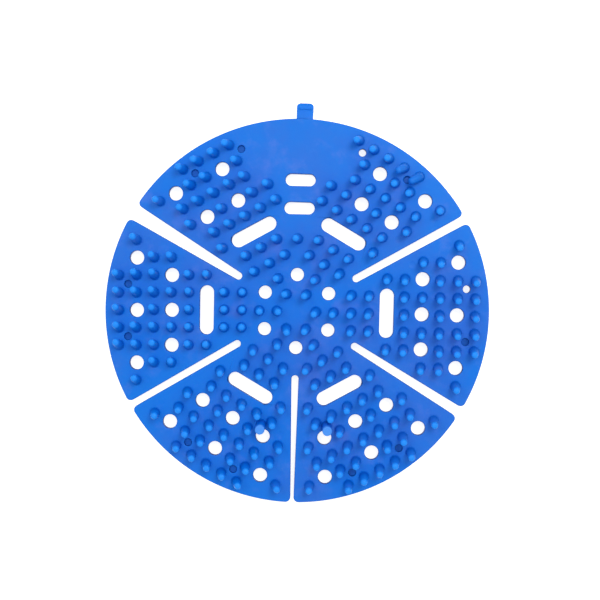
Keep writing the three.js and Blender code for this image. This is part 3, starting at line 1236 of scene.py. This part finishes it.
@dataclass(frozen=True)
class Vinyl:
    """Satin vinyl, blue through and through, with a faint mottle, a fine moulded grain, painted
    shade in the hollows and at the pin roots, and painted light on the tips.
    """

    purple: Colour = (0.018, 0.160, 0.685)
    film: Colour = (0.10, 0.21, 0.74)
    film_share: float = 0.4
    # Painted shade on the pins' lower sides, where the pins shade each other near the plate.
    root: Colour = (0.0, 0.10, 0.52)
    # Painted shade on the drains' walls and the bevels at their rims.
    wall_shade: Colour = (0.0, 0.055, 0.30)
    # Painted shade on the pockets' floors.
    pocket: Colour = (0.0, 0.11, 0.53)
    mottle: Cloud = Cloud(22, 5, 0.62, 0.38, 0.66)
    smudges: Cloud = Cloud(95, 5, 0.6, 0.5, 0.75)
    gloss: Cloud = Cloud(60, 4, 0.6, 0.3, 0.7)
    roughness: tuple[float, float] = (0.36, 0.5)
    swell: Cloud = Cloud(110, 2)
    swell_strength: float = 0.35
    swell_depth: float = 0.5 * MM
    grain: Cloud = Cloud(1400, 2)
    grain_strength: float = 0.25
    grain_depth: float = 0.03 * MM
    # Heights over which the painted light on the tips fades in.
    tip_light_heights: tuple[float, float] = (11.6 * MM, 13.4 * MM)
    # Heights over which the painted shade on the pins fades from the plate upwards.
    root_shade_heights: tuple[float, float] = (6.2 * MM, 11.5 * MM)
    underside_heights: tuple[float, float] = (3.1 * MM, 3.4 * MM)
    # Height below which the painted shade on steep walls begins.
    wall_shade_top: float = 6.0 * MM
    # Height below which the painted shade in the pockets begins.
    pocket_shade_top: float = 5.4 * MM
    fade: float = 0.3 * MM
    steepness: tuple[float, float] = (0.92, 0.35)
    ior: float = 1.48
    specular: float = 0.2
    subsurface: float = 0.08
    subsurface_radius: Colour = (0.25, 0.6, 1.4)
    subsurface_scale: float = 2.5 * MM

    def surface(self) -> bpy.types.NodeTree:
        """Makes the node group that turns a finish's tones into colour, roughness and normal."""
        tree = bpy.data.node_groups.new("vinyl_surface", "ShaderNodeTree")
        for name, kind in (("Plain", "Color"), ("Tip light", "Color"), ("Hollow shade", "Float")):
            tree.interface.new_socket(name, in_out="INPUT", socket_type=f"NodeSocket{kind}")
        for name, kind in (("Colour", "Color"), ("Roughness", "Float"), ("Normal", "Vector")):
            tree.interface.new_socket(name, in_out="OUTPUT", socket_type=f"NodeSocket{kind}")
        nodes = Nodes(tree)
        finish = nodes.add("NodeGroupInput").outputs
        place = nodes.add("ShaderNodeTexCoord").outputs["Object"]
        output = nodes.add("NodeGroupOutput").inputs
        nodes.link(self._colour(nodes, place, finish), output["Colour"])
        nodes.link(nodes.cloud(place, self.gloss, *self.roughness), output["Roughness"])
        nodes.link(self._normal(nodes, place), output["Normal"])
        return tree

    def _colour(
        self, nodes: Nodes, place: Socket, finish: bpy.types.bpy_prop_collection
    ) -> Socket:
        """Lays the tones over each other: the random mottle and smudges, painted shade on the pins'
        lower sides, the pockets' floors and the drains' walls, and painted light on the tips.

        Args:
            nodes: The node group.
            place: The place on the disc.
            finish: The group's inputs, which a finish sets.

        Returns:
            The colour.
        """
        height = nodes.upright(place)
        true_normal = nodes.add("ShaderNodeNewGeometry").outputs["True Normal"]
        level = nodes.add("ShaderNodeMath", operation="ABSOLUTE")
        nodes.link(nodes.upright(true_normal), level.inputs[0])
        steep = nodes.ramp(level.outputs[0], *self.steepness)
        # Masks of painted shade: the pins' lower sides, the drains' walls and the pockets' floors.
        root_start, root_end = self.root_shade_heights
        raised = nodes.ramp(height, root_start, root_start + self.fade)
        root_shade_share = nodes.ramp(height, root_end, root_start)
        in_shaded_wall = nodes.ramp(height, self.wall_shade_top, self.wall_shade_top - self.fade)
        in_shaded_pocket = nodes.ramp(height, self.pocket_shade_top, self.pocket_shade_top - self.fade)
        above_underside = nodes.ramp(height, *self.underside_heights)
        floor = nodes.fold("MULTIPLY", in_shaded_pocket, above_underside, finish["Hollow shade"])
        layers = (
            (nodes.cloud(place, self.mottle), self.purple),
            (nodes.cloud(place, self.smudges, 0, self.film_share), self.film),
            # Painted shade on the lower sides of the pins.
            (nodes.fold("MULTIPLY", raised, root_shade_share), self.root),
            # Painted shade on the pockets' floors, which are recessed below the plate top.
            (floor, self.pocket),
            # Painted shade on the drains' walls and the bevels of their rims.
            (nodes.fold("MULTIPLY", steep, in_shaded_wall, finish["Hollow shade"]), self.wall_shade),
            # Painted light on the pin tips and post tops.
            (nodes.ramp(height, *self.tip_light_heights), finish["Tip light"]),
        )
        colour = finish["Plain"]
        for share, tone in layers:
            colour = nodes.blend(share, colour, tone)
        return colour

    def _normal(self, nodes: Nodes, place: Socket) -> Socket:
        """Returns the normal of the uneven surface, with its fine grain."""
        swell = nodes.noise(place, self.swell)
        soft = nodes.bump(swell, self.swell_strength, self.swell_depth)
        grain = nodes.noise(place, self.grain)
        return nodes.bump(grain, self.grain_strength, self.grain_depth, soft)

    def material(self, surface: bpy.types.NodeTree, finish: Finish) -> bpy.types.Material:
        """Makes one material of the vinyl.

        Args:
            surface: The node group of the vinyl's surface.
            finish: What the material has of its own.

        Returns:
            The material.
        """
        made = bpy.data.materials.new(finish.name)
        made.use_nodes = True
        nodes = Nodes(made.node_tree)
        shader = made.node_tree.nodes["Principled BSDF"].inputs
        group = nodes.add("ShaderNodeGroup", node_tree=surface)
        group.inputs["Plain"].default_value = (*finish.plain, 1)
        group.inputs["Tip light"].default_value = (*finish.tip, 1)
        group.inputs["Hollow shade"].default_value = finish.hollow_shade
        nodes.link(group.outputs["Colour"], shader["Base Color"])
        nodes.link(group.outputs["Roughness"], shader["Roughness"])
        nodes.link(group.outputs["Normal"], shader["Normal"])
        shader["IOR"].default_value = self.ior
        shader["Specular IOR Level"].default_value = self.specular
        shader["Subsurface Weight"].default_value = self.subsurface
        shader["Subsurface Radius"].default_value = self.subsurface_radius
        shader["Subsurface Scale"].default_value = self.subsurface_scale
        return made


@dataclass(frozen=True)
class Backdrop:
    """A plain white floor that keeps a soft shadow."""

    albedo: float = 0.8
    glow: float = 0.8
    size: float = 6.0
    gap: float = 0.02 * MM

    def material(self) -> bpy.types.Material:
        """Makes the floor's material, white to the camera from above and clear from below."""
        made = bpy.data.materials.new("floor")
        made.use_nodes = True
        nodes = Nodes(made.node_tree)
        shader = made.node_tree.nodes["Principled BSDF"]
        shader.inputs["Base Color"].default_value = (self.albedo,) * 3 + (1,)
        shader.inputs["Roughness"].default_value = 1
        shader.inputs["Specular IOR Level"].default_value = 0
        shader.inputs["Emission Color"].default_value = (1, 1, 1, 1)
        nodes.link(nodes.seen(0, self.glow), shader.inputs["Emission Strength"])
        mix = nodes.add("ShaderNodeMixShader")
        nodes.link(nodes.add("ShaderNodeNewGeometry").outputs["Backfacing"], mix.inputs[0])
        nodes.link(shader.outputs[0], mix.inputs[1])
        nodes.link(nodes.add("ShaderNodeBsdfTransparent").outputs[0], mix.inputs[2])
        nodes.link(mix.outputs[0], made.node_tree.nodes["Material Output"].inputs["Surface"])
        return made

    def build(self) -> Piece:
        """Adds the floor."""
        Bench.clear()
        bpy.ops.mesh.primitive_plane_add(size=self.size, location=(0, 0, -self.gap))
        floor = bpy.context.object
        floor.name = floor.data.name = "floor"
        floor.data.materials.append(self.material())
        return floor


@dataclass(frozen=True)
class Lamp:
    """One soft white area lamp, aimed at the middle of the disc.

    Args:
        name: Its name.
        place: Where it hangs.
        size: How wide it is.
        power: Its power in watts.
    """

    name: str
    place: tuple[float, float, float]
    size: float
    power: float

    def build(self) -> None:
        """Adds the lamp."""
        data = bpy.data.lights.new(self.name, "AREA")
        data.shape = "DISK"
        data.size = self.size
        data.energy = self.power
        lamp = bpy.data.objects.new(self.name, data)
        lamp.location = self.place
        lamp.rotation_euler = (-Vector(self.place)).to_track_quat("-Z", "Y").to_euler()
        bpy.context.collection.objects.link(lamp)


@dataclass
class Studio:
    """The camera, the lamps and the world."""

    distance: float = 430 * MM
    frame_width: float = 273.2 * MM
    sensor: float = 36
    clip_start: float = 10 * MM
    aim: tuple[float, float] = (1.6 * MM, 5.1 * MM)
    target_height: float = 6 * MM
    tilt: float = 1.5
    tilt_heading: float = 42.0
    roll: float = 1.3
    world_light: float = 0.72
    lamps: tuple[Lamp, ...] = (
        Lamp("key", (0.3, 0.42, 0.95), 0.45, 3.7),
        Lamp("fill", (-0.5, 0.3, 0.9), 0.7, 1.3),
    )

    def build(self) -> None:
        """Adds the camera, the lamps and the world."""
        self._camera()
        for lamp in self.lamps:
            lamp.build()
        world = bpy.data.worlds.new("world")
        world.use_nodes = True
        nodes = Nodes(world.node_tree)
        background = world.node_tree.nodes["Background"]
        background.inputs["Color"].default_value = (1, 1, 1, 1)
        nodes.link(nodes.seen(self.world_light, 1), background.inputs["Strength"])
        scene = bpy.context.scene
        scene.world = world
        scene.view_settings.view_transform = "Standard"

    def _camera(self) -> None:
        """Adds the camera, almost straight above the disc."""
        turn = Matrix.Rotation(math.radians(self.roll), 3, "Z")
        lean, heading = math.radians(self.tilt), math.radians(self.tilt_heading)
        aside = math.sin(lean)
        back = turn @ Vector(
            (aside * math.cos(heading), aside * math.sin(heading), math.cos(lean))
        )
        up = turn @ Vector((0, 1, 0))
        up = (up - back * up.dot(back)).normalized()
        right = up.cross(back)
        target = turn @ Vector((*self.aim, 0)) + Vector((0, 0, self.target_height))
        data = bpy.data.cameras.new("camera")
        data.sensor_width = self.sensor
        data.lens = data.sensor_width * self.distance / self.frame_width
        data.clip_start = self.clip_start
        camera = bpy.data.objects.new("camera", data)
        camera.matrix_world = Matrix.Translation(target + back * self.distance) @ Matrix(
            (right, up, back)
        ).transposed().to_4x4()
        bpy.context.collection.objects.link(camera)
        bpy.context.scene.camera = camera


@dataclass
class Screen:
    """The whole disc."""

    layout: Layout = field(default_factory=Layout)
    vinyl: Vinyl = field(default_factory=Vinyl)
    disc: Finish = Finish("vinyl")
    # The posts' material paints their flat tops paler still: painted light where the lamp falls on
    # them.
    posts: Finish = Finish("vinyl_posts_lit_tops", tip=(0.065, 0.29, 0.88))
    # The tab has no painted shade in its hollows.
    tab: Finish = Finish("vinyl_tab", plain=(0.0, 0.19, 0.80), hollow_shade=0.0)

    def build(self) -> None:
        """Models and dresses every piece, each riding on the disc's one body."""
        surface = self.vinyl.surface()
        finishes = (self.disc, self.posts, self.tab)
        materials = {finish: self.vinyl.material(surface, finish) for finish in finishes}
        dressed = {Posts: self.posts, Tab: self.tab}
        for kind in (Plate, Pins, Posts, Feet, Tab):
            piece = kind(self.layout).build()
            piece.data.materials.clear()
            piece.data.materials.append(materials[dressed.get(kind, self.disc)])
            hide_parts(NODE)
            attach(piece, BODY)
            log.info("%s: %d faces", piece.name, len(piece.data.polygons))


def main() -> None:
    """Builds the screen, the floor and the studio."""
    logging.basicConfig(level=logging.INFO, format="%(message)s")
    Screen().build()
    Backdrop().build()
    Studio().build()


if __name__ == "__main__":
    main()
